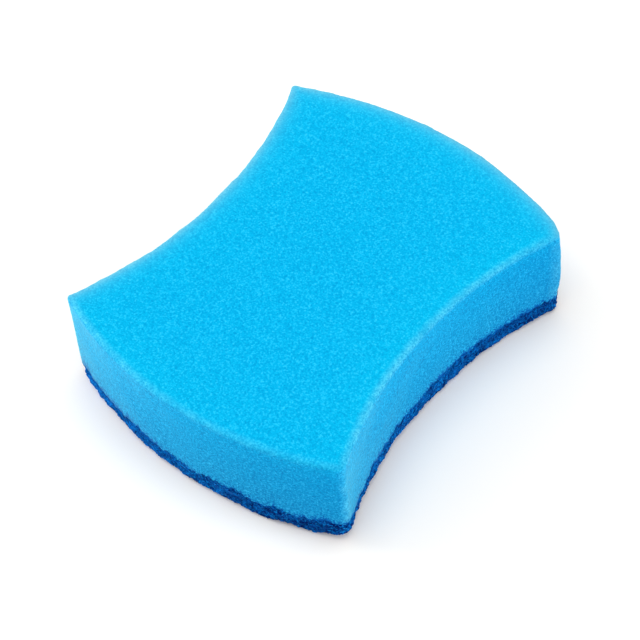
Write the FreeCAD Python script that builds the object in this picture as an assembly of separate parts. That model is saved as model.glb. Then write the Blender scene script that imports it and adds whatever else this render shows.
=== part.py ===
"""A hand scouring sponge: a foam block glued to a nonwoven scouring pad, both die-cut to one waisted outline.

Millimetres. +Z is up, +Y runs along the sponge from one bulging end to the other, and X crosses its waist.
The origin is the centre of the scouring face, which the sponge rests on.
"""

import FreeCAD
import Part

import os

# The die-cut outline: four corners, joined by a bulging arc at each end and a hollow arc along each flank.
CORNER_HALF_LENGTH = 44.4  # Y of the corners
CORNER_HALF_WIDTH = 43.8  # X of the corners
END_BULGE = 9.5  # how far an end stands out past its two corners
WAIST_DEPTH = 9.3  # how far a flank curves in between its two corners
CORNER_RADIUS = 1.6  # the blade's own radius where two arcs meet

# The laminated sheet, from the scouring face up.
PAD_THICKNESS = 5.9
GLUE_THICKNESS = 0.3
FOAM_THICKNESS = 23.8

# Soft rims left by the cut.
FOAM_RIM_RADIUS = 1.0
PAD_RIM_RADIUS = 1.2

PARTS_FOLDER = "parts"
SAME_HEIGHT = 1e-6  # two points closer than this stand at one height


def outline(z):
    """The closed die-cut outline at height z."""
    x, y = CORNER_HALF_WIDTH, CORNER_HALF_LENGTH
    corners = [(-x, y), (x, y), (x, -y), (-x, -y)]
    middles = [(0, y + END_BULGE), (x - WAIST_DEPTH, 0), (0, -y - END_BULGE), (-x + WAIST_DEPTH, 0)]
    edges = []
    for i, middle in enumerate(middles):
        start, end = corners[i], corners[(i + 1) % len(corners)]
        points = [FreeCAD.Vector(px, py, z) for px, py in (start, middle, end)]
        edges.append(Part.Arc(*points).toShape())
    return Part.Wire(edges)


def stands_upright(edge):
    """True for the edges where two of the outline's arcs meet."""
    bottom, top = edge.BoundBox.ZMin, edge.BoundBox.ZMax
    return top - bottom > SAME_HEIGHT and len(edge.Vertexes) == 2


def lies_at(edge, z):
    """True for an edge of the rim at height z."""
    return abs(edge.BoundBox.ZMin - z) < SAME_HEIGHT and abs(edge.BoundBox.ZMax - z) < SAME_HEIGHT


def die_cut(z_bottom, thickness):
    """One layer of the laminate, cut to the outline, with its four upright corners rounded."""
    layer = Part.Face(outline(z_bottom)).extrude(FreeCAD.Vector(0, 0, thickness))
    return layer.makeFillet(CORNER_RADIUS, [e for e in layer.Edges if stands_upright(e)])


def soften_rim(layer, z, radius):
    """The layer with its rim at height z rounded over."""
    return layer.makeFillet(radius, [e for e in layer.Edges if lies_at(e, z)])


def scouring_pad():
    """Nonwoven nylon web with abrasive resin, at the bottom."""
    return soften_rim(die_cut(0, PAD_THICKNESS), 0, PAD_RIM_RADIUS)


def glue_layer():
    """The adhesive film that laminates the pad to the foam."""
    return die_cut(PAD_THICKNESS, GLUE_THICKNESS)


def foam_block():
    """Open-cell polyurethane foam, with its wiping face on top."""
    z_bottom = PAD_THICKNESS + GLUE_THICKNESS
    z_top = z_bottom + FOAM_THICKNESS
    return soften_rim(die_cut(z_bottom, FOAM_THICKNESS), z_top, FOAM_RIM_RADIUS)


def main():
    os.makedirs(PARTS_FOLDER, exist_ok=True)
    pieces = {"scouring_pad": scouring_pad(), "glue_layer": glue_layer(), "foam_block": foam_block()}
    for name, shape in pieces.items():
        solid, = shape.Solids
        box = solid.optimalBoundingBox(False, False)
        print(
            f"{name}: valid {solid.isValid()}, {solid.Volume / 1000:.2f} cm3, "
            f"{box.XLength:.2f} x {box.YLength:.2f} x {box.ZLength:.2f} mm, Z {box.ZMin:.2f} to {box.ZMax:.2f}"
        )
        solid.exportStep(os.path.join(PARTS_FOLDER, f"{name}.step"))


main()
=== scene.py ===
"""A hand scouring sponge: sky-blue open-cell foam glued to a dark-blue nonwoven scouring pad."""

import math

import bpy
import numpy as np
from mathutils import Matrix, Vector, geometry, noise


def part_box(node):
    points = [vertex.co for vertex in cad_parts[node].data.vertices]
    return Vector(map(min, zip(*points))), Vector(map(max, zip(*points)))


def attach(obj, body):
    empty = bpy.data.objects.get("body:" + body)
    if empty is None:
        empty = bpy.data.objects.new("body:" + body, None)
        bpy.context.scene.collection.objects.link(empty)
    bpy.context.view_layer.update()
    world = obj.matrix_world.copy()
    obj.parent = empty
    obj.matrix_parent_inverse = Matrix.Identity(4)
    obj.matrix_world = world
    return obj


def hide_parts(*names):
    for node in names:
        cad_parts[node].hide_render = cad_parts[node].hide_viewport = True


MM = 0.001
BODY = "root"

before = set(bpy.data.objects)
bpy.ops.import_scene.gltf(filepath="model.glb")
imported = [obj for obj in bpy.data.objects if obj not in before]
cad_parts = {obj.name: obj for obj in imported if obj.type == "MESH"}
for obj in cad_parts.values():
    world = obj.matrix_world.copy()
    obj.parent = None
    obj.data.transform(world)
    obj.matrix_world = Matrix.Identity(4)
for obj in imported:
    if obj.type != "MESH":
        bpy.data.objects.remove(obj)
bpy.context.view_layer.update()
scene = bpy.context.scene

# ---------------------------------------------------------------- camera

CAMERA_AZIMUTH = math.radians(42.61)
CAMERA_ELEVATION = math.radians(51.92)
CAMERA_ROLL = math.radians(-4.91)
CAMERA_DISTANCE = 561.2 * MM
CAMERA_LENS = 121.37  # mm
CAMERA_SENSOR = 36.0  # mm wide
CAMERA_TARGET = Vector((-4.21, 4.18, 0.0)) * MM


def add_camera():
    """The scene's camera, which looks down on the sponge from its corner at +X -Y."""
    flat = math.cos(CAMERA_ELEVATION)
    back = Vector(
        (
            math.sin(CAMERA_AZIMUTH) * flat,
            -math.cos(CAMERA_AZIMUTH) * flat,
            math.sin(CAMERA_ELEVATION),
        )
    )
    level_right = (-back).cross(Vector((0, 0, 1))).normalized()
    level_up = level_right.cross(-back)
    c, s = math.cos(CAMERA_ROLL), math.sin(CAMERA_ROLL)
    right, up = level_right * c + level_up * s, level_up * c - level_right * s
    data = bpy.data.cameras.new("camera")
    data.lens = CAMERA_LENS
    data.sensor_width = CAMERA_SENSOR
    data.sensor_fit = "HORIZONTAL"
    data.clip_start, data.clip_end = 0.01, 20.0
    camera = bpy.data.objects.new("camera", data)
    turn = Matrix((right, up, back)).transposed().to_4x4()
    camera.matrix_world = Matrix.Translation(CAMERA_TARGET + back * CAMERA_DISTANCE) @ turn
    scene.collection.objects.link(camera)
    scene.camera = camera


add_camera()

# ---------------------------------------------------------------- the die-cut outline

CORNER_HALF_LENGTH = 44.4 * MM
CORNER_HALF_WIDTH = 43.8 * MM
END_BULGE = 9.5 * MM
WAIST_DEPTH = 9.3 * MM
TINY = 0.01 * MM

END_RADIUS = (CORNER_HALF_WIDTH**2 + END_BULGE**2) / (2 * END_BULGE)
END_CENTRE_Y = CORNER_HALF_LENGTH + END_BULGE - END_RADIUS
FLANK_RADIUS = (CORNER_HALF_LENGTH**2 + WAIST_DEPTH**2) / (2 * WAIST_DEPTH)
FLANK_CENTRE_X = CORNER_HALF_WIDTH - WAIST_DEPTH + FLANK_RADIUS


class Outline:
    """The waisted outline as arcs, anticlockwise from the +X -Y corner."""

    def __init__(self, radii):
        """radii gives each corner's radius by the signs of its x and y."""
        self.arcs = []
        corners = {(sx, sy): self.corner(sx, sy, radius) for (sx, sy), radius in radii.items()}
        order = [(1, -1), (1, 1), (-1, 1), (-1, -1)]
        for i, a in enumerate(order):
            b = order[(i + 1) % 4]
            first, last = corners[a], corners[b]
            if i % 2 == 0:
                kind, other = "flank", "end"
                self.add((a[0] * FLANK_CENTRE_X, 0), FLANK_RADIUS, first[kind], last[kind], -1)
            else:
                kind, other = "end", "flank"
                self.add((0, a[1] * END_CENTRE_Y), END_RADIUS, first[kind], last[kind], 1)
            self.add(last["centre"], last["radius"], last[kind], last[other], 1)
        lengths = [radius * abs(b - a) for _, radius, a, b, _ in self.arcs]
        self.starts = np.concatenate([[0], np.cumsum(lengths)])
        self.length = self.starts[-1]

    @staticmethod
    def corner(sx, sy, radius):
        """A rounded corner: its centre, and where it meets the end's arc and the flank's."""
        end, flank = np.array([0, END_CENTRE_Y]), np.array([FLANK_CENTRE_X, 0])
        near, far = END_RADIUS - radius, FLANK_RADIUS + radius
        gap = np.linalg.norm(flank - end)
        along = (gap**2 + near**2 - far**2) / (2 * gap)
        unit = (flank - end) / gap
        across = np.array([-unit[1], unit[0]])
        centre = end + unit * along + across * math.sqrt(near**2 - along**2)
        from_end, from_flank = centre - end, centre - flank
        side = np.array([sx, sy])
        return {
            "radius": radius,
            "centre": centre * side,
            "end": (end + from_end * END_RADIUS / np.linalg.norm(from_end)) * side,
            "flank": (flank + from_flank * FLANK_RADIUS / np.linalg.norm(from_flank)) * side,
        }

    def add(self, centre, radius, first, last, side):
        """One arc. side is 1 where its centre lies inside the outline and -1 where it lies outside."""
        centre = np.array(centre, float)
        a, b = (math.atan2(p[1] - centre[1], p[0] - centre[0]) for p in (first, last))
        turn = (b - a + math.pi) % (2 * math.pi) - math.pi
        self.arcs.append((centre, radius, a, a + turn, side))

    def at(self, s):
        """The points at distances s along the outline, and the outward normals there."""
        s = np.mod(s, self.length)
        last_arc = len(self.arcs) - 1
        which = np.clip(np.searchsorted(self.starts, s, side="right") - 1, 0, last_arc)
        centre = np.array([arc[0] for arc in self.arcs])[which]
        radius, a, b, side = (np.array([arc[i] for arc in self.arcs])[which] for i in (1, 2, 3, 4))
        angle = a + np.sign(b - a) * (s - self.starts[which]) / radius
        ray = np.stack([np.cos(angle), np.sin(angle)], -1)
        return centre + ray * radius[:, None], ray * side[:, None]


def edge_distances(x, y):
    """How far inside the outline a point is, from the nearer end and from the nearer flank."""
    ends = END_RADIUS - np.hypot(x, np.abs(y) - END_CENTRE_Y)
    flanks = np.hypot(np.abs(x) - FLANK_CENTRE_X, y) - FLANK_RADIUS
    return ends, flanks


def inner_distance(x, y):
    """How far inside the outline a point is."""
    return np.minimum(*edge_distances(x, y))


def by_flank(x, y):
    """1 beside a flank and 0 beside an end."""
    ends, flanks = np.maximum(edge_distances(x, y), 0)
    return ends / (ends + flanks + TINY)


def from_corner(x, y, corner):
    """Distance from a corner, which is named by the signs of its x and y."""
    return np.hypot(x - corner[0] * CORNER_HALF_WIDTH, y - corner[1] * CORNER_HALF_LENGTH)


def corner_share(x, y, reach):
    """1 at the two corners at +X, falling to 0 that far from them."""
    return 1 - smoothstep(np.hypot(x - CORNER_HALF_WIDTH, np.abs(y) - CORNER_HALF_LENGTH), 0, reach)


def relative(x, y):
    """Where a point is across and along the sponge, from -1 to 1 between the corners."""
    return x / CORNER_HALF_WIDTH, y / CORNER_HALF_LENGTH


# ---------------------------------------------------------------- noise


def smooth_noise(points, size, seed):
    """Smooth noise from about -1 to 1 with features of that size, at points in metres."""
    shift = Vector((seed * 17.3, seed * 5.1, seed * -9.7))
    return np.array([noise.noise(Vector(p) / size + shift) for p in points]) * 1.6


def cells(points, size, seed):
    """Distance to the nearest of scattered cell centres, over the cell size."""
    shift = Vector((seed * 11.9, seed * -7.7, seed * 3.3))
    return np.array([noise.voronoi(Vector(p) / size + shift)[0][0] for p in points])


def smoothstep(x, low, high):
    t = np.clip((x - low) / (high - low), 0, 1)
    return t * t * (3 - 2 * t)


# ---------------------------------------------------------------- layers

FOAM_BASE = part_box("foam_block")[0].z
FOAM_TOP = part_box("foam_block")[1].z
PAD_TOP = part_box("scouring_pad")[1].z

SEAM_WAVE = 0.45 * MM
SEAM_WAVE_SIZE = 8 * MM
SEAM_STEP = 0.7 * MM
SEAM_STEP_SIZE = 3.0 * MM
SEAM_TEETH = 0.6 * MM
SEAM_TEETH_SIZE = 0.9 * MM
PINCHES = {(-1, -1): (0.85 * MM, 50 * MM), (1, 1): (0.45 * MM, 30 * MM)}  # where the web is thinner
CALM_REACH = 35 * MM  # the seam is straighter this close to the corner at -X -Y
CALM_SHARE = 0.3  # of its waves that remain there
TIP_DEPTHS = {-1: 2.3 * MM, 1: 1.0 * MM}  # how far the foam reaches down at the tips at -Y, by sign of x
TIP_REACH = 6 * MM

JITTER = 0.22  # how far a vertex strays, over the spacing
ROW_SHARE = math.sqrt(0.75)  # the distance between rows of even triangles, over the spacing
EDGE_GAP = 0.6  # the least distance from a scattered vertex to the loop around it, over the spacing
EDGE_BAND = 4  # how far in that is looked for, over the spacing
HIDDEN_SPACING = 2.5 * MM  # between vertices inside the laminate


def seam_height(x, y):
    """Where the foam meets the pad: the web is uneven, and thinner around two corners."""
    flat = np.stack([x, y, np.zeros_like(x)], -1)
    wave = smooth_noise(flat, SEAM_WAVE_SIZE, 1) * SEAM_WAVE
    wave += smooth_noise(flat, SEAM_STEP_SIZE, 12) * SEAM_STEP
    from_calm = smoothstep(from_corner(x, y, (-1, -1)), CALM_REACH / 7, CALM_REACH)
    wave *= CALM_SHARE + (1 - CALM_SHARE) * from_calm
    teeth = smooth_noise(flat, SEAM_TEETH_SIZE, 2) * SEAM_TEETH
    pinch = 0
    for corner, (depth, reach) in PINCHES.items():
        pinch = pinch + depth * (1 - smoothstep(from_corner(x, y, corner), reach / 4, reach))
    near_tip = 1 - smoothstep(from_corner(np.abs(x), y, (1, -1)), 0, TIP_REACH)
    pinch = pinch + np.where(x < 0, TIP_DEPTHS[-1], TIP_DEPTHS[1]) * near_tip
    return (FOAM_BASE + PAD_TOP) / 2 + wave + teeth - pinch


def level(height):
    """A flat face at that height."""
    return lambda x, y: np.full_like(x, height)


def lattice(loop, spacing, rng):
    """Scattered points inside a closed loop, about spacing apart, each nudged a little."""
    low, high = loop.min(0), loop.max(0)
    points = []
    for i, y in enumerate(np.arange(low[1], high[1], spacing * ROW_SHARE)):
        x = np.arange(low[0] + (i % 2) * spacing / 2, high[0], spacing)
        points.append(np.stack([x, np.full_like(x, y)], -1))
    points = np.concatenate(points)
    points += rng.uniform(-JITTER, JITTER, points.shape) * spacing
    loop_depth = inner_distance(loop[:, 0], loop[:, 1]).min()
    depth = inner_distance(points[:, 0], points[:, 1]) - loop_depth
    points, depth = points[depth > 0], depth[depth > 0]
    by_edge = depth < spacing * EDGE_BAND
    gaps = np.linalg.norm(points[by_edge][:, None] - loop[None], axis=2).min(1)
    keep = np.ones(len(points), bool)
    keep[by_edge] = gaps > spacing * EDGE_GAP
    return points[keep]


INSIDE_ONLY = 1  # the triangulation's own code for leaving out what lies outside the loop
SAME_POINT = 1e-6  # mm


def cap(loop, spacing, rng):
    """Points scattered inside a closed loop, and triangles that index the loop first and then them."""
    inner = lattice(loop, spacing, rng)
    n = len(loop)
    edges = [(i, (i + 1) % n) for i in range(n)]
    points = [Vector(p) for p in np.concatenate([loop, inner]) / MM]
    _, _, faces, sources, _, _ = geometry.delaunay_2d_cdt(points, edges, [], INSIDE_ONLY, SAME_POINT)
    faces = np.array([[sources[i][0] for i in face] for face in faces])
    used = np.arange(len(points)) < n
    used[faces] = True
    return inner[used[n:]], (np.cumsum(used) - 1)[faces].tolist()


def shell(outline, near, far, up, rim, spacing, far_spacing, seed):
    """A closed layer: a wall from the near face to the far one, with the far rim rounded over.

    near and far give heights over x and y. up is 1 where the far face is the upper one and -1 where
    it is the lower. Returns the vertices, the triangles, how many vertices show, and how many are in
    the loop around the near face, which come first.
    """
    rng = np.random.default_rng(seed)
    n = round(outline.length / spacing)
    step = outline.length / n
    row = step * ROW_SHARE
    middle = np.zeros(1)
    wall = np.abs(far(middle, middle) - near(middle, middle))[0] - rim
    n_wall = max(1, round(wall / row))
    n_rim = max(1, round(rim * math.pi / 2 / row))
    rings = []
    for j in range(n_wall + n_rim + 1):
        share = min(j / n_wall, 1)
        turn = max(j - n_wall, 0) / n_rim * math.pi / 2
        inset, lift = rim * (1 - math.cos(turn)), rim * math.sin(turn)
        s = (np.arange(n) + 0.5 * (j % 2)) * step
        stray = np.zeros(n)
        if 0 < j < n_wall:
            s += rng.uniform(-JITTER, JITTER, n) * step
            stray = rng.uniform(-JITTER, JITTER, n) * row
        place, out = outline.at(s)
        x, y = place.T
        stray *= (np.abs(far(x, y) - near(x, y)) - rim) / wall
        z = near(x, y) * (1 - share) + (far(x, y) - up * rim) * share + up * lift + stray
        rings.append(np.column_stack([place - out * inset, z]))
    faces = []
    for j in range(len(rings) - 1):
        low, high = j * n, (j + 1) * n
        for i in range(n):
            k = (i + 1) % n
            if j % 2 == 0:
                faces += [(low + i, low + k, high + i), (high + i, low + k, high + k)]
            else:
                faces += [(low + i, low + k, high + k), (low + i, high + k, high + i)]
    points = np.concatenate(rings)
    last = len(points) - n
    inner, far_faces = cap(rings[-1][:, :2], far_spacing, rng)
    offset = len(points) - n
    faces += [[i + last if i < n else i + offset for i in face] for face in far_faces]
    points = np.concatenate([points, np.column_stack([inner, far(*inner.T)])])
    shown = len(points)
    inner, near_faces = cap(rings[0][:, :2], HIDDEN_SPACING, rng)
    offset = shown - n
    faces += [[i if i < n else i + offset for i in face[::-1]] for face in near_faces]
    points = np.concatenate([points, np.column_stack([inner, near(*inner.T)])])
    if up < 0:
        faces = [face[::-1] for face in faces]
    return points, faces, shown, n


SHARP_ANGLE = 62  # degrees


def add_mesh(name, points, faces, loop=0):
    """A smooth mesh, creased where it bends sharply and along the loop of that many first vertices."""
    mesh = bpy.data.meshes.new(name)
    mesh.from_pydata(np.asarray(points).tolist(), [], faces)
    mesh.validate()
    mesh.shade_smooth()
    mesh.set_sharp_from_angle(angle=math.radians(SHARP_ANGLE))
    for edge in mesh.edges:
        if max(edge.vertices) < loop:
            edge.use_edge_sharp = True
    piece = bpy.data.objects.new(name, mesh)
    scene.collection.objects.link(piece)
    return piece


def get_normals(piece):
    flat = np.zeros(len(piece.data.vertices) * 3)
    piece.data.vertices.foreach_get("normal", flat)
    return flat.reshape(-1, 3)


def set_points(piece, points):
    piece.data.vertices.foreach_set("co", np.asarray(points).ravel())
    piece.data.update()


def set_attribute(piece, name, values):
    layer = piece.data.attributes.new(name, "FLOAT", "POINT")
    layer.data.foreach_set("value", np.asarray(values, np.float32))


# ---------------------------------------------------------------- foam

FOAM_SPACING = 0.45 * MM
FOAM_CORNERS = {(-1, -1): 1.1 * MM, (-1, 1): 0.9 * MM, (1, -1): 2.3 * MM, (1, 1): 1.7 * MM}
FOAM_RIM = 0.85 * MM  # less than every corner radius
WALL_BOW = 0.1 * MM  # how far the walls curve in at half their height

CORNER_DROP = 0.6 * MM  # how far the top sinks at the corners at +X
CORNER_DRAW = {-1: 0.5 * MM, 1: 0.8 * MM}  # how far those corners draw in at the top, by the sign of y
CORNER_DROP_REACH = 5.5 * MM
FOOT_DRAW = 0.6 * MM  # how far those corners draw in at the seam
FOOT_SHARE = 0.15  # and up to what share of the foam's height

CELL_SIZE = 1.05 * MM
CELL_DEPTH = 0.12 * MM
CELL_LEVEL = 0.6  # the distance from a cell's centre at which the surface stays put, over its size
GRAIN_SIZE = 0.7 * MM
GRAIN_HEIGHT = 0.05 * MM
WALL_CALM = 0.75  # the share of the cells and the grain that the smoother walls lack
SWELL_SIZE = 12 * MM
SWELL_HEIGHT = 0.12 * MM
CUT_WAVES = ((1.4 * MM, 0.07 * MM), (3.2 * MM, 0.12 * MM), (8 * MM, 0.14 * MM))  # sizes, heights
CUT_WAVE_RISE = 4 * MM  # they fade out over this much above the seam

RIM_WIDTH = 2.8 * MM
RIDGE_WIDTH = 3.2 * MM
RIDGE_SPREAD = 1.6  # how much wider the ridge at +X +Y is
# the ridges down the rounded corners carry a painted highlight
RIDGE_HIGHLIGHT = 0.8
FAR_HIGHLIGHT_WIDTH = 1.35 * MM  # of the paler band of painted highlight along the upper rim at -X and +Y
FAR_HIGHLIGHT_DEPTH = 1.3 * MM
HALO_WIDTH = 7 * MM  # of the slightly brighter band of painted light around the top
HALO_INSET = 2 * MM
SHADE_DROP = 5 * MM  # the painted shade on the walls reaches its full depth this far below the top
STAIN_HEIGHT = 1.7 * MM  # how far up the foam the pad's colour shows
STAIN_RISE = 1.2  # how much further it shows at the corner at -X -Y, as a share
STAIN_REACH = 28 * MM  # of that corner
STAIN_PATCH_SIZE = 9 * MM


def pull_in(points, draw):
    """Moves points in from the corners at +X, along the diagonal."""
    step = draw * math.sqrt(0.5)
    points[:, 0] -= step
    points[:, 1] -= step * np.sign(points[:, 1])


def foam_share(z):
    """The share of the foam's height below z."""
    return np.clip((z - FOAM_BASE) / (FOAM_TOP - FOAM_BASE), 0, 1)


def foam_relief(points, normals):
    """How far the cut stands out: cells and grain, a slow swell, and waves down the sides at -X and +Y."""
    x, y, z = points.T
    steep = np.hypot(*normals.T[:2])
    upright = smoothstep(steep, 0.5, 0.9)
    relief = (cells(points, CELL_SIZE, 1) - CELL_LEVEL) * CELL_DEPTH
    relief += smooth_noise(points, GRAIN_SIZE, 2) * GRAIN_HEIGHT
    relief *= 1 - WALL_CALM * upright
    relief += smooth_noise(points, SWELL_SIZE, 3) * SWELL_HEIGHT
    beside = by_flank(x, y)
    ragged = (beside * (x < 0) + (1 - beside) * (y > 0)) * upright
    ragged *= np.clip((z - FOAM_BASE) / CUT_WAVE_RISE, 0, 1)
    for seed, (size, height) in enumerate(CUT_WAVES, 14):
        relief += smooth_noise(points, size, seed) * height * ragged
    return relief - np.sin(foam_share(z) * math.pi) * WALL_BOW * steep


def settle_corners(moved, points):
    """Sinks the corners at +X, and draws them in at the top and at the seam."""
    x, y, z = points.T
    share = foam_share(z)
    near_corner = corner_share(x, y, CORNER_DROP_REACH)
    give = near_corner * share**4
    moved[:, 2] -= CORNER_DROP * give
    draw = np.where(y < 0, CORNER_DRAW[-1], CORNER_DRAW[1]) * give
    pull_in(moved, draw + FOOT_DRAW * near_corner * (1 - smoothstep(share, 0, FOOT_SHARE)))


def worn_and_lit_rim(x, y, z):
    """How pale the foam is along its upper rim and down the ridges at its corners: partly wear and partly
    painted highlight, stronger towards -X along the ends and towards -Y along the flanks.
    """
    depth = np.maximum(inner_distance(x, y), 0)
    from_rim = np.hypot(depth * 1.2, (FOAM_TOP - z) * 1.4)
    rim = 1 - smoothstep(from_rim, 0.1 * RIM_WIDTH, RIM_WIDTH)
    ridge_width = RIDGE_WIDTH * np.where((x > 0) & (y > 0), RIDGE_SPREAD, 1.0)
    ridge = 1 - smoothstep(from_corner(np.abs(x), np.abs(y), (1, 1)) / ridge_width, 0.3, 1.0)
    across, along = relative(x, y)
    beside = by_flank(x, y)
    worn_and_lit = (1.25 - 0.5 * along) * beside
    worn_and_lit += (0.75 - 0.5 * np.minimum(across, 0) - 0.65 * np.maximum(across, 0)) * (1 - beside)
    return np.maximum(rim, ridge * RIDGE_HIGHLIGHT) * worn_and_lit


def far_rim_highlight(x, y, z):
    """How much painted highlight lies along the upper rim at -X and +Y."""
    ends, flanks = np.maximum(edge_distances(x, y), 0)
    far_highlight = np.maximum(np.exp(-flanks / FAR_HIGHLIGHT_WIDTH) * (x < 0), np.exp(-ends / FAR_HIGHLIGHT_WIDTH) * (y > 0))
    return far_highlight * (1 - smoothstep(FOAM_TOP - z, 0, FAR_HIGHLIGHT_DEPTH))


def wall_shade(x, y, z):
    """How much painted shade darkens the walls: more towards +X at the end at -Y, and towards +Y along the
    flanks.
    """
    across, along = relative(x, y)
    beside = by_flank(x, y)
    shade = (1 - beside) * (y < 0) * smoothstep(across, 0, 0.9) + beside * smoothstep(along, 0.3, 1.0)
    return shade * smoothstep(FOAM_TOP - z, 0, SHADE_DROP)


def painted_top_halo(x, y):
    """How much painted light brightens the top near its rim, except along the +X half of the end at -Y."""
    across, _ = relative(x, y)
    depth = np.maximum(inner_distance(x, y), 0)
    front = (1 - by_flank(x, y)) * (y < 0)
    halo = np.exp(-depth / HALO_WIDTH) * smoothstep(depth, 0, HALO_INSET)
    return halo * (1 - 0.9 * front * smoothstep(across, -0.3, 0.5))


def pad_stain(points):
    """How much of the pad's colour shows through the foam."""
    x, y, z = points.T
    patchy = 0.8 + 0.3 * smooth_noise(points * (1, 1, 0), STAIN_PATCH_SIZE, 4)
    rise = STAIN_RISE * (1 - smoothstep(from_corner(x, y, (-1, -1)), 0, STAIN_REACH))
    return np.exp(-np.maximum(z - seam_height(x, y), 0) / (STAIN_HEIGHT * (1 + rise))) * patchy


def add_foam():
    outline = Outline(FOAM_CORNERS)
    points, faces, shown, loop = shell(
        outline, seam_height, level(FOAM_TOP), 1, FOAM_RIM, FOAM_SPACING, FOAM_SPACING, 1
    )
    piece = add_mesh("foam", points, faces, loop)
    normals = get_normals(piece)
    relief = foam_relief(points, normals)
    relief[shown:] = 0
    moved = points + normals * relief[:, None]
    settle_corners(moved, points)
    set_points(piece, moved)
    x, y, z = points.T
    set_attribute(piece, "rim", worn_and_lit_rim(x, y, z))
    set_attribute(piece, "far_highlight", far_rim_highlight(x, y, z))
    set_attribute(piece, "shade", wall_shade(x, y, z))
    set_attribute(piece, "halo", painted_top_halo(x, y))
    set_attribute(piece, "stain", pad_stain(points))
    # painted shade that deepens towards the foot of the walls
    set_attribute(piece, "foot_shade", 1 - foam_share(z))
    set_attribute(piece, "side", 1 - smoothstep(normals[:, 2], 0.0, 0.8))
    return piece


# ---------------------------------------------------------------- scouring pad

PAD_SPACING = 0.36 * MM
PAD_FACE_SPACING = 0.5 * MM
PAD_CORNERS = {(-1, -1): 4.5 * MM, (-1, 1): 1.4 * MM, (1, -1): 3.2 * MM, (1, 1): 3.2 * MM}
PAD_RIM = 1.3 * MM  # less than every corner radius
CORNER_CURL = {-1: 1.6 * MM, 1: 0.2 * MM}  # how far the web curls up at the corners at +X, by sign of y
CORNER_CURL_REACH = 9 * MM
FLANK_CURL = 1.9 * MM  # and along the flank at +X
FLANK_CURL_PLACE = -26 * MM
FLANK_CURL_REACH = 28 * MM
FLANK_CURL_DEPTH = 7 * MM
PAD_CLEAR = 0.15 * MM  # between the web's solid part and the floor, taken up by fibres
FLOOR_GAP = 0.04 * MM  # the least height of the web's solid part
BULGE_SIZE = 9 * MM
BULGE_HEIGHT = 0.3 * MM
LUMP_SIZE = 3.2 * MM
LUMP_HEIGHT = 0.26 * MM
TUFT_SIZE = 0.9 * MM
TUFT_HEIGHT = 0.16 * MM
TONE_SIZE = 2 * MM
TONE_NOISE = 0.12


def pad_relief(points):
    """How far the web stands out: bulges, lumps and tufts."""
    lumps = smooth_noise(points, LUMP_SIZE, 5) * LUMP_HEIGHT
    lumps += smooth_noise(points, BULGE_SIZE, 7) * BULGE_HEIGHT
    tufts = smooth_noise(points, TUFT_SIZE, 6) * TUFT_HEIGHT
    return lumps + tufts


def pad_lift(points):
    """How far the web is lifted, most at its lower face."""
    x, y, z = points.T
    curl = np.where(y < 0, CORNER_CURL[-1], CORNER_CURL[1]) * corner_share(x, y, CORNER_CURL_REACH)
    _, flanks = edge_distances(x, y)
    beside = (1 - smoothstep(flanks, 0, FLANK_CURL_DEPTH)) * (x > 0)
    along = 1 - smoothstep(np.abs(y - FLANK_CURL_PLACE), 0, FLANK_CURL_REACH)
    curl = np.maximum(curl, FLANK_CURL * beside * along)
    return curl * np.clip(1 - z / PAD_TOP, 0, 1)


def web_light_and_tone(points):
    """How light the web is: painted light, lighter towards -X along the ends and towards the middle of the
    flanks, with a random tone on top.
    """
    x, y, _ = points.T
    across, along = relative(x, y)
    share = by_flank(x, y)
    tone = (0.64 - 0.12 * along - 0.45 * along**2) * share + (0.65 - 0.6 * across) * (1 - share)
    return tone + smooth_noise(points, TONE_SIZE, 13) * TONE_NOISE


def add_pad():
    outline = Outline(PAD_CORNERS)
    points, faces, shown, loop = shell(
        outline, seam_height, level(PAD_CLEAR), -1, PAD_RIM, PAD_SPACING, PAD_FACE_SPACING, 2
    )
    piece = add_mesh("scouring_web", points, faces, loop)
    normals = get_normals(piece)
    normals[:, 2] *= 1 - smoothstep(points[:, 2] / PAD_TOP, 0.5, 0.8)
    relief = pad_relief(points)
    relief[shown:] = 0
    moved = points + normals * relief[:, None]
    moved[:, 2] += pad_lift(points)
    moved[:, 2] = np.maximum(moved[:, 2], FLOOR_GAP)
    set_points(piece, moved)
    set_attribute(piece, "tone", web_light_and_tone(points))
    return piece


# ---------------------------------------------------------------- glue

GLUE_THICKNESS = 0.14 * MM
GLUE_SPACING = 0.5 * MM
GLUE_PATCH_SIZE = 3 * MM
OOZE_SIZE = 2.4 * MM
OOZE = 0.16 * MM  # how far the glue stands out of the seam, or lies back in it


def glue_half(x, y):
    """Half the film's thickness."""
    flat = np.stack([x, y, np.ones_like(x)], -1)
    return GLUE_THICKNESS * (0.55 + 0.9 * np.clip(smooth_noise(flat, GLUE_PATCH_SIZE, 8), -0.4, 1))


def add_glue():
    outline = Outline(FOAM_CORNERS)
    n = round(outline.length / GLUE_SPACING)
    loop, out = outline.at(np.arange(n) * outline.length / n)
    inner, faces = cap(loop, HIDDEN_SPACING, np.random.default_rng(3))
    x, y = np.concatenate([loop, inner]).T
    middle, half = seam_height(x, y), glue_half(x, y)
    under = len(x)  # the lower face's vertices follow the upper face's
    points = np.concatenate([np.column_stack([x, y, z]) for z in (middle + half, middle - half)])
    faces += [[i + under for i in face[::-1]] for face in faces]
    for i in range(n):
        k = (i + 1) % n
        faces += [(k, i, i + under), (k, i + under, k + under)]
    piece = add_mesh("glue_film", points, faces)
    ooze = smooth_noise(np.column_stack([loop, np.zeros(n)]), OOZE_SIZE, 9) * OOZE
    moved = points.copy()
    for rim in (slice(0, n), slice(under, under + n)):
        moved[rim, :2] += out * ooze[:, None]
    pull_in(moved, FOOT_DRAW * corner_share(*points.T[:2], CORNER_DROP_REACH))
    set_points(piece, moved)
    return piece


# ---------------------------------------------------------------- fibres

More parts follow.
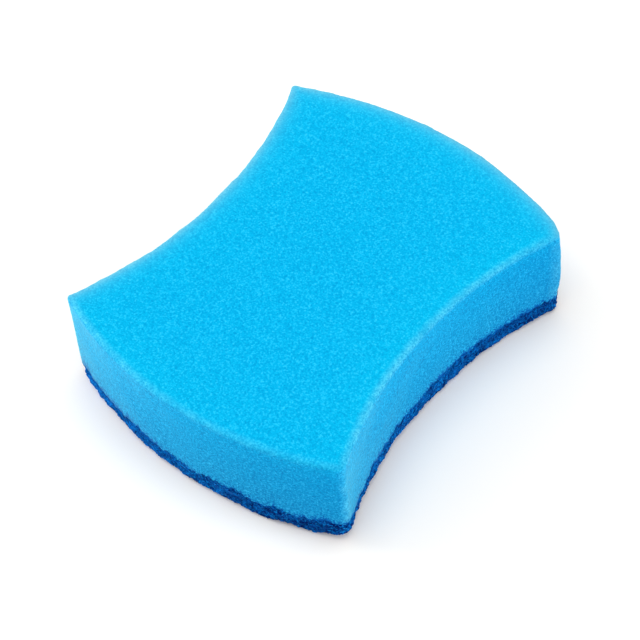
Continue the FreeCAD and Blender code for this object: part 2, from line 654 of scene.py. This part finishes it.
FIBRE_SIDES = 3
FIBRE_POINTS = 7
FIBRE_RADIUS = 0.065 * MM
FIBRE_RADII = (0.7, 1.4)  # over that radius
FIBRE_TAPER = 0.35
FIBRE_STEEP = 0.9


def add_fibres(name, paths, radii, tone):
    """Tubes along paths, an array of fibres by points by 3, each with a radius and a tone."""
    count, length, _ = paths.shape
    ahead = np.gradient(paths, axis=1)
    ahead /= np.linalg.norm(ahead, axis=2, keepdims=True)
    helper = np.zeros_like(ahead)
    helper[..., 2] = 1
    steep = np.abs(ahead[..., 2]) > FIBRE_STEEP
    helper[steep] = (1, 0, 0)
    across = np.cross(ahead, helper)
    across /= np.linalg.norm(across, axis=2, keepdims=True)
    over = np.cross(across, ahead)
    rings = []
    taper = 1 - FIBRE_TAPER * np.abs(np.linspace(-1, 1, length)) ** 3
    width = radii[:, None, None] * taper[None, :, None]
    for side in range(FIBRE_SIDES):
        angle = side * 2 * math.pi / FIBRE_SIDES
        rings.append(paths + (across * math.cos(angle) + over * math.sin(angle)) * width)
    points = np.stack(rings, 2)
    points[..., 2] = np.maximum(points[..., 2], TINY)
    base = np.arange(count)[:, None] * length * FIBRE_SIDES
    quads = []
    for j in range(length - 1):
        for side in range(FIBRE_SIDES):
            a, b = j * FIBRE_SIDES + side, j * FIBRE_SIDES + (side + 1) % FIBRE_SIDES
            quads.append(base + np.array([[a, a + FIBRE_SIDES, b + FIBRE_SIDES, b]]))
    quads = np.concatenate(quads).tolist()
    last = (length - 1) * FIBRE_SIDES
    ends = np.concatenate([base + np.array([[0, 1, 2]]), base + last + np.array([[2, 1, 0]])]).tolist()
    piece = add_mesh(name, points.reshape(-1, 3), quads + ends)
    set_attribute(piece, "tone", np.repeat(tone, length * FIBRE_SIDES))
    return piece


def wandering(rng, count, length, spread, bend):
    """Curved lines in a plane, an array of fibres by points by 2, each centred on the origin."""
    along = np.linspace(-0.5, 0.5, FIBRE_POINTS)
    heading = rng.normal(0, spread, count)[:, None] + rng.normal(0, bend, count)[:, None] * along * 2
    heading = heading + rng.normal(0, bend, count)[:, None] * (along * 2) ** 2
    step = length[:, None] / (FIBRE_POINTS - 1)
    path = np.stack([np.cumsum(np.cos(heading) * step, 1), np.cumsum(np.sin(heading) * step, 1)], -1)
    return path - path.mean(1, keepdims=True)


def undercut(z):
    """How far the web's wall lies in from its outline, where its lower rim is rounded over."""
    down = np.maximum(PAD_RIM - (z - PAD_CLEAR), 0)
    return np.minimum(PAD_RIM - np.sqrt(np.maximum(PAD_RIM**2 - down**2, 0)), PAD_RIM)


WALL_FIBRES = 5200
WALL_FIBRE_LENGTHS = (0.8, 3.2)  # mm
WALL_FIBRES_PROUD = (-0.03, 0.17)  # mm, how far the middles stand out of the web
FIBRE_END_DEPTH = 0.15  # mm, how far the ends lie inside it
PALE_SHARE = 0.15  # of the fibres
PALE_TONE = 1.4


def add_wall_fibres():
    """Fibres that lie along the web's wall."""
    rng = np.random.default_rng(11)
    count = WALL_FIBRES
    outline = Outline(PAD_CORNERS)
    length = rng.uniform(*WALL_FIBRE_LENGTHS, count) * MM
    path = wandering(rng, count, length, 1.0, 0.9)
    s = rng.uniform(0, outline.length, count)[:, None] + path[..., 0]
    centre, _ = outline.at(s[:, FIBRE_POINTS // 2])
    top = seam_height(*centre.T)
    middle = PAD_CLEAR + (top + 0.1 * MM - PAD_CLEAR) * rng.uniform(0, 1, count)
    z = middle[:, None] + path[..., 1]
    z = np.clip(z, 0.1 * MM, (top + 0.2 * MM)[:, None])
    place, out = outline.at(s.ravel())
    surface = np.column_stack([place, z.ravel()])
    relief = pad_relief(surface) - undercut(z.ravel())
    arch = 1 - np.linspace(-1, 1, FIBRE_POINTS)[None] ** 2
    proud = rng.uniform(*WALL_FIBRES_PROUD, count)[:, None] * MM * arch - (1 - arch) * FIBRE_END_DEPTH * MM
    points = surface.copy()
    points[:, 2] += pad_lift(surface)
    points[:, :2] += out * (relief + proud.ravel())[:, None]
    radii = FIBRE_RADIUS * rng.uniform(*FIBRE_RADII, count)
    # the fibres share the web's painted light, with a tone of their own
    tone = web_light_and_tone(np.column_stack([centre, middle])) * 0.8 + rng.uniform(-0.9, 0.6, count)
    tone[rng.uniform(0, 1, count) < PALE_SHARE] += PALE_TONE
    return add_fibres("web_wall_fibres", points.reshape(count, FIBRE_POINTS, 3), radii, tone)


FACE_FIBRES = 2600
FACE_FIBRE_LENGTHS = (5, 12)  # mm
FACE_FIBRES_PROUD = (-0.05, 0.2)  # mm
FACE_FIBRE_END_DEPTH = 0.1  # mm
FACE_FIBRE_INSET = 1.2 * MM


def add_face_fibres():
    """Fibres that lie on the web's lower face."""
    rng = np.random.default_rng(12)
    tries = FACE_FIBRES * 2  # some of them cross the outline, and are left out
    centre = rng.uniform(-1, 1, (tries, 2)) * (CORNER_HALF_WIDTH, CORNER_HALF_LENGTH + END_BULGE)
    length = rng.uniform(*FACE_FIBRE_LENGTHS, tries) * MM
    turn = rng.uniform(0, math.pi, tries)
    path = wandering(rng, tries, length, 0.0, 0.7)
    c, s = np.cos(turn)[:, None], np.sin(turn)[:, None]
    spot = np.stack([path[..., 0] * c - path[..., 1] * s, path[..., 0] * s + path[..., 1] * c], -1)
    spot += centre[:, None]
    inside = inner_distance(spot[..., 0], spot[..., 1]).min(1) > FACE_FIBRE_INSET
    spot = spot[inside][:FACE_FIBRES]
    count = len(spot)
    arch = 1 - np.linspace(-1, 1, FIBRE_POINTS)[None] ** 2
    z = PAD_CLEAR - arch * rng.uniform(*FACE_FIBRES_PROUD, count)[:, None] * MM
    z += (1 - arch) * FACE_FIBRE_END_DEPTH * MM
    points = np.concatenate([spot, z[..., None]], -1)
    points[..., 2] += pad_lift(points.reshape(-1, 3)).reshape(z.shape)
    radii = FIBRE_RADIUS * rng.uniform(*FIBRE_RADII, count)
    return add_fibres("web_face_fibres", points, radii, rng.uniform(0, 1, count))


# ---------------------------------------------------------------- materials


def new_material(name):
    """An empty material, its node tree and its shader."""
    material = bpy.data.materials.new(name)
    material.use_nodes = True
    tree = material.node_tree
    tree.nodes.clear()
    output = tree.nodes.new("ShaderNodeOutputMaterial")
    shader = tree.nodes.new("ShaderNodeBsdfPrincipled")
    tree.links.new(shader.outputs[0], output.inputs[0])
    return material, tree, shader


def place_texture(tree, kind, size, **settings):
    """A texture on the object's own coordinates, with features of that size in metres."""
    coordinates = tree.nodes.get("object space")
    if coordinates is None:
        coordinates = tree.nodes.new("ShaderNodeTexCoord")
        coordinates.name = "object space"
    texture = tree.nodes.new(kind)
    tree.links.new(coordinates.outputs["Object"], texture.inputs["Vector"])
    texture.inputs["Scale"].default_value = 1 / size
    for key, value in settings.items():
        texture.inputs[key].default_value = value
    return texture


def remap(tree, value, low, high, to_low=0.0, to_high=1.0):
    """A value's range from low to high, mapped to the one from to_low to to_high, and held inside it."""
    node = tree.nodes.new("ShaderNodeMapRange")
    tree.links.new(value, node.inputs["Value"])
    for key, number in (("From Min", low), ("From Max", high), ("To Min", to_low), ("To Max", to_high)):
        node.inputs[key].default_value = number
    return node.outputs[0]


def math_node(tree, operation, a, b):
    """The result of an operation on two sockets or numbers."""
    node = tree.nodes.new("ShaderNodeMath")
    node.operation = operation
    for socket, value in zip(node.inputs, (a, b)):
        if isinstance(value, (int, float)):
            socket.default_value = value
        else:
            tree.links.new(value, socket)
    return node.outputs[0]


def mix_colours(tree, share, a, b):
    """Colour a where share is 0 and b where it is 1. Each is a socket or a colour."""
    node = tree.nodes.new("ShaderNodeMix")
    node.data_type = "RGBA"
    tree.links.new(share, node.inputs["Factor"])
    for socket, value in zip((node.inputs[6], node.inputs[7]), (a, b)):
        if isinstance(value, tuple):
            socket.default_value = (*value, 1)
        else:
            tree.links.new(value, socket)
    return node.outputs[2]


def attribute(tree, name):
    """The value that set_attribute stored on the mesh."""
    node = tree.nodes.new("ShaderNodeAttribute")
    node.attribute_name = name
    return node.outputs["Fac"]


def bump(tree, shader, height, strength, distance):
    node = tree.nodes.new("ShaderNodeBump")
    node.inputs["Strength"].default_value = strength
    node.inputs["Distance"].default_value = distance
    tree.links.new(height, node.inputs["Height"])
    tree.links.new(node.outputs[0], shader.inputs["Normal"])


# Each pair of colours is where a material's grain is dark and where it is light.
FOAM_TOP_COLOURS = (0.0001, 0.29, 0.585), (0.0015, 0.495, 0.82)
# The walls' colours hold painted shade: a little darker and bluer than the top's, and darker still towards
# the foot.
FOAM_WALL_TOP_COLOURS = (0.0001, 0.22, 0.53), (0.0005, 0.51, 0.94)
FOAM_WALL_SHADED_FOOT_COLOURS = (0.0002, 0.165, 0.42), (0.015, 0.44, 0.815)
HALO_COLOUR, HALO_SHARE = (0.001, 0.80, 0.90), 0.1
SHADE_COLOUR, SHADE_SHARE = (0.0001, 0.17, 0.54), 0.2
# painted shade in the hollows of the cells
PORE_SHADE_COLOUR, PORE_SHADE_SHARE = (0.0005, 0.22, 0.52), 0.18
STRAND_COLOUR, STRAND_SHARE = (0.14, 0.66, 0.93), 0.17
# The rim's pale colour is partly wear and partly painted highlight.
RIM_COLOUR, RIM_SHARES = (0.18, 0.75, 0.93), (0.06, 0.28)
# A painted highlight on the far rims at -X and +Y.
FAR_HIGHLIGHT_COLOUR, FAR_HIGHLIGHT_SHARES = (0.15, 0.46, 0.60), (0.75, 1.1)
STAIN_COLOUR, STAIN_STRENGTH = (0.0006, 0.10, 0.42), 1.7

FOAM_GRAIN = 0.48 * MM
FOAM_MOTTLE = 2.6 * MM
FOAM_PORES = 0.85 * MM
BUMP_DEPTH = 0.12 * MM
MATT = 0.02  # the specular level of the foam and the web


def foam_material():
    material, tree, shader = new_material("foam")
    grain = place_texture(tree, "ShaderNodeTexNoise", FOAM_GRAIN, Detail=1.5, Roughness=0.6).outputs[0]
    mottle = place_texture(tree, "ShaderNodeTexNoise", FOAM_MOTTLE, Detail=1.0).outputs[0]
    pores = place_texture(tree, "ShaderNodeTexVoronoi", FOAM_PORES).outputs[0]

    light = math_node(
        tree, "ADD", remap(tree, grain, 0.28, 0.72, 0, 0.94), remap(tree, mottle, 0.3, 0.7, 0, 0.06)
    )
    top = mix_colours(tree, light, *FOAM_TOP_COLOURS)
    # Painted light: the top brighter near its rim.
    halo = math_node(tree, "MULTIPLY", attribute(tree, "halo"), HALO_SHARE)
    top = mix_colours(tree, halo, top, HALO_COLOUR)
    # The walls are painted darker than the top, as shade, and darker towards the foot.
    wall_top = mix_colours(tree, light, *FOAM_WALL_TOP_COLOURS)
    shaded_wall_foot = mix_colours(tree, light, *FOAM_WALL_SHADED_FOOT_COLOURS)
    wall = mix_colours(tree, attribute(tree, "foot_shade"), wall_top, shaded_wall_foot)
    # Painted shade on the walls.
    shade = math_node(tree, "MULTIPLY", attribute(tree, "shade"), SHADE_SHARE)
    wall = mix_colours(tree, shade, wall, SHADE_COLOUR)
    body = mix_colours(tree, attribute(tree, "side"), top, wall)

    # Painted shade in the hollows of the cells.
    body = mix_colours(tree, remap(tree, pores, 0.05, 0.4, PORE_SHADE_SHARE, 0.0), body, PORE_SHADE_COLOUR)
    body = mix_colours(tree, remap(tree, grain, 0.56, 0.74, 0, STRAND_SHARE), body, STRAND_COLOUR)
    # Paler along the rim and the corner ridges: partly wear, partly painted highlight.
    rim = math_node(tree, "MULTIPLY", attribute(tree, "rim"), remap(tree, grain, 0.3, 0.7, *RIM_SHARES))
    rim = math_node(tree, "MULTIPLY", rim, remap(tree, mottle, 0.3, 0.7, 0.5, 1.5))
    body = mix_colours(tree, rim, body, RIM_COLOUR)
    # Painted highlight along the far rims.
    far_highlight = remap(tree, grain, 0.3, 0.7, *FAR_HIGHLIGHT_SHARES)
    far_highlight = math_node(tree, "MULTIPLY", attribute(tree, "far_highlight"), far_highlight)
    body = mix_colours(tree, far_highlight, body, FAR_HIGHLIGHT_COLOUR)
    stain = math_node(tree, "MULTIPLY", attribute(tree, "stain"), STAIN_STRENGTH)
    stain = math_node(tree, "SUBTRACT", stain, remap(tree, grain, 0.35, 0.65))
    body = mix_colours(tree, remap(tree, stain, 0.0, 0.6), body, STAIN_COLOUR)
    tree.links.new(body, shader.inputs["Base Color"])

    tree.links.new(remap(tree, grain, 0.3, 0.7, 0.85, 1.0), shader.inputs["Roughness"])
    height = math_node(tree, "ADD", pores, math_node(tree, "MULTIPLY", grain, 0.8))
    bump(tree, shader, height, 0.3, BUMP_DEPTH)
    shader.inputs["Specular IOR Level"].default_value = MATT
    shader.inputs["Sheen Weight"].default_value = 0.9
    shader.inputs["Sheen Roughness"].default_value = 0.24
    shader.inputs["Sheen Tint"].default_value = (0.38, 1.0, 0.9, 1)
    return material


GLUE_COLOURS = (0.0002, 0.02, 0.12), (0.0008, 0.13, 0.46)
WEB_COLOURS = (0.0002, 0.010, 0.12), (0.0008, 0.176, 0.62)
FIBRE_COLOURS = (0.0002, 0.012, 0.13), (0.002, 0.22, 0.72)
FLECK_COLOUR = (0.004, 0.25, 0.70)

WEB_GRAIN = 0.4 * MM
WEB_BLOTCH = 2.2 * MM
WEB_FLECK = 0.8 * MM
WEB_PATCH = 14 * MM  # of more flecks or fewer
WEB_TONE_SHARE = 0.5


def web_material(name, dark, light):
    material, tree, shader = new_material(name)
    grain = place_texture(tree, "ShaderNodeTexNoise", WEB_GRAIN, Detail=3.0, Roughness=0.65).outputs[0]
    blotch = place_texture(tree, "ShaderNodeTexNoise", WEB_BLOTCH, Detail=2.0).outputs[0]
    fleck = place_texture(tree, "ShaderNodeTexNoise", WEB_FLECK, Detail=1.0).outputs[0]
    patch = place_texture(tree, "ShaderNodeTexNoise", WEB_PATCH).outputs[0]

    share = math_node(
        tree, "ADD", remap(tree, grain, 0.3, 0.7, -0.3, 0.5), remap(tree, blotch, 0.35, 0.65, -0.1, 0.2)
    )
    tone = math_node(tree, "MULTIPLY", attribute(tree, "tone"), WEB_TONE_SHARE)
    share = math_node(tree, "ADD", share, tone)
    colour = mix_colours(tree, remap(tree, share, 0, 1), dark, light)
    fleck = math_node(
        tree, "MULTIPLY", remap(tree, fleck, 0.55, 0.70, 0, 0.7), remap(tree, patch, 0.4, 0.6, 0.35, 1.4)
    )
    colour = mix_colours(tree, fleck, colour, FLECK_COLOUR)
    tree.links.new(colour, shader.inputs["Base Color"])

    tree.links.new(remap(tree, grain, 0.3, 0.7, 0.55, 0.85), shader.inputs["Roughness"])
    bump(tree, shader, grain, 0.6, BUMP_DEPTH)
    shader.inputs["Specular IOR Level"].default_value = MATT
    return material


# ---------------------------------------------------------------- studio

FLOOR_SIZE = 8  # m
FLOOR_COLOURS = (0.97, 0.935, 0.89), (0.985, 0.95, 0.905)
FLOOR_MOTTLE = 60 * MM

SKY_STRENGTH = 0.80
LAMPS = {  # where each one is, how wide, and its power in watts
    "overhead": ((0.0, 0.0, 1.6), 1.4, 7),
    "left": ((-1.5, -0.4, 0.6), 1.0, 16),
    "right": ((1.5, 0.5, 0.6), 1.0, 8),
}


def add_floor():
    bpy.ops.mesh.primitive_plane_add(size=FLOOR_SIZE)
    floor = bpy.context.object
    floor.name = "floor"
    material, tree, shader = new_material("floor")
    mottle = place_texture(tree, "ShaderNodeTexNoise", FLOOR_MOTTLE).outputs[0]
    tree.links.new(mix_colours(tree, mottle, *FLOOR_COLOURS), shader.inputs["Base Color"])
    shader.inputs["Roughness"].default_value = 0.9
    shader.inputs["Specular IOR Level"].default_value = 0.1
    floor.data.materials.append(material)


def add_lamp(name, place, size, power):
    """A round area lamp that points at the origin."""
    data = bpy.data.lights.new(name, "AREA")
    data.shape = "DISK"
    data.size = size
    data.energy = power
    lamp = bpy.data.objects.new(name, data)
    lamp.location = place
    lamp.rotation_euler = (-Vector(place)).to_track_quat("-Z", "Y").to_euler()
    scene.collection.objects.link(lamp)


def add_studio():
    world = bpy.data.worlds.new("studio")
    scene.world = world
    world.use_nodes = True
    background = world.node_tree.nodes["Background"]
    background.inputs["Color"].default_value = (1, 1, 1, 1)
    background.inputs["Strength"].default_value = SKY_STRENGTH
    for name, settings in LAMPS.items():
        add_lamp(name, *settings)
    scene.view_settings.view_transform = "Standard"


# ---------------------------------------------------------------- assembly


def finish_piece(piece, material, slot, *nodes):
    """Dresses a piece and puts it on the body. It stands in for those CAD nodes, if any."""
    piece.data.materials.append(material)
    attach(piece, BODY)
    if nodes:
        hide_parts(*nodes)


foam = add_foam()
finish_piece(foam, foam_material(), "foam", "foam_block")

glue = add_glue()
finish_piece(glue, web_material("glue", *GLUE_COLOURS), "glue", "glue_layer")

pad = add_pad()
finish_piece(pad, web_material("web", *WEB_COLOURS), "scouring_web", "scouring_pad")

fibre_material = web_material("fibres", *FIBRE_COLOURS)
for fibres in (add_wall_fibres(), add_face_fibres()):
    finish_piece(fibres, fibre_material, "scouring_web")

add_floor()
add_studio()
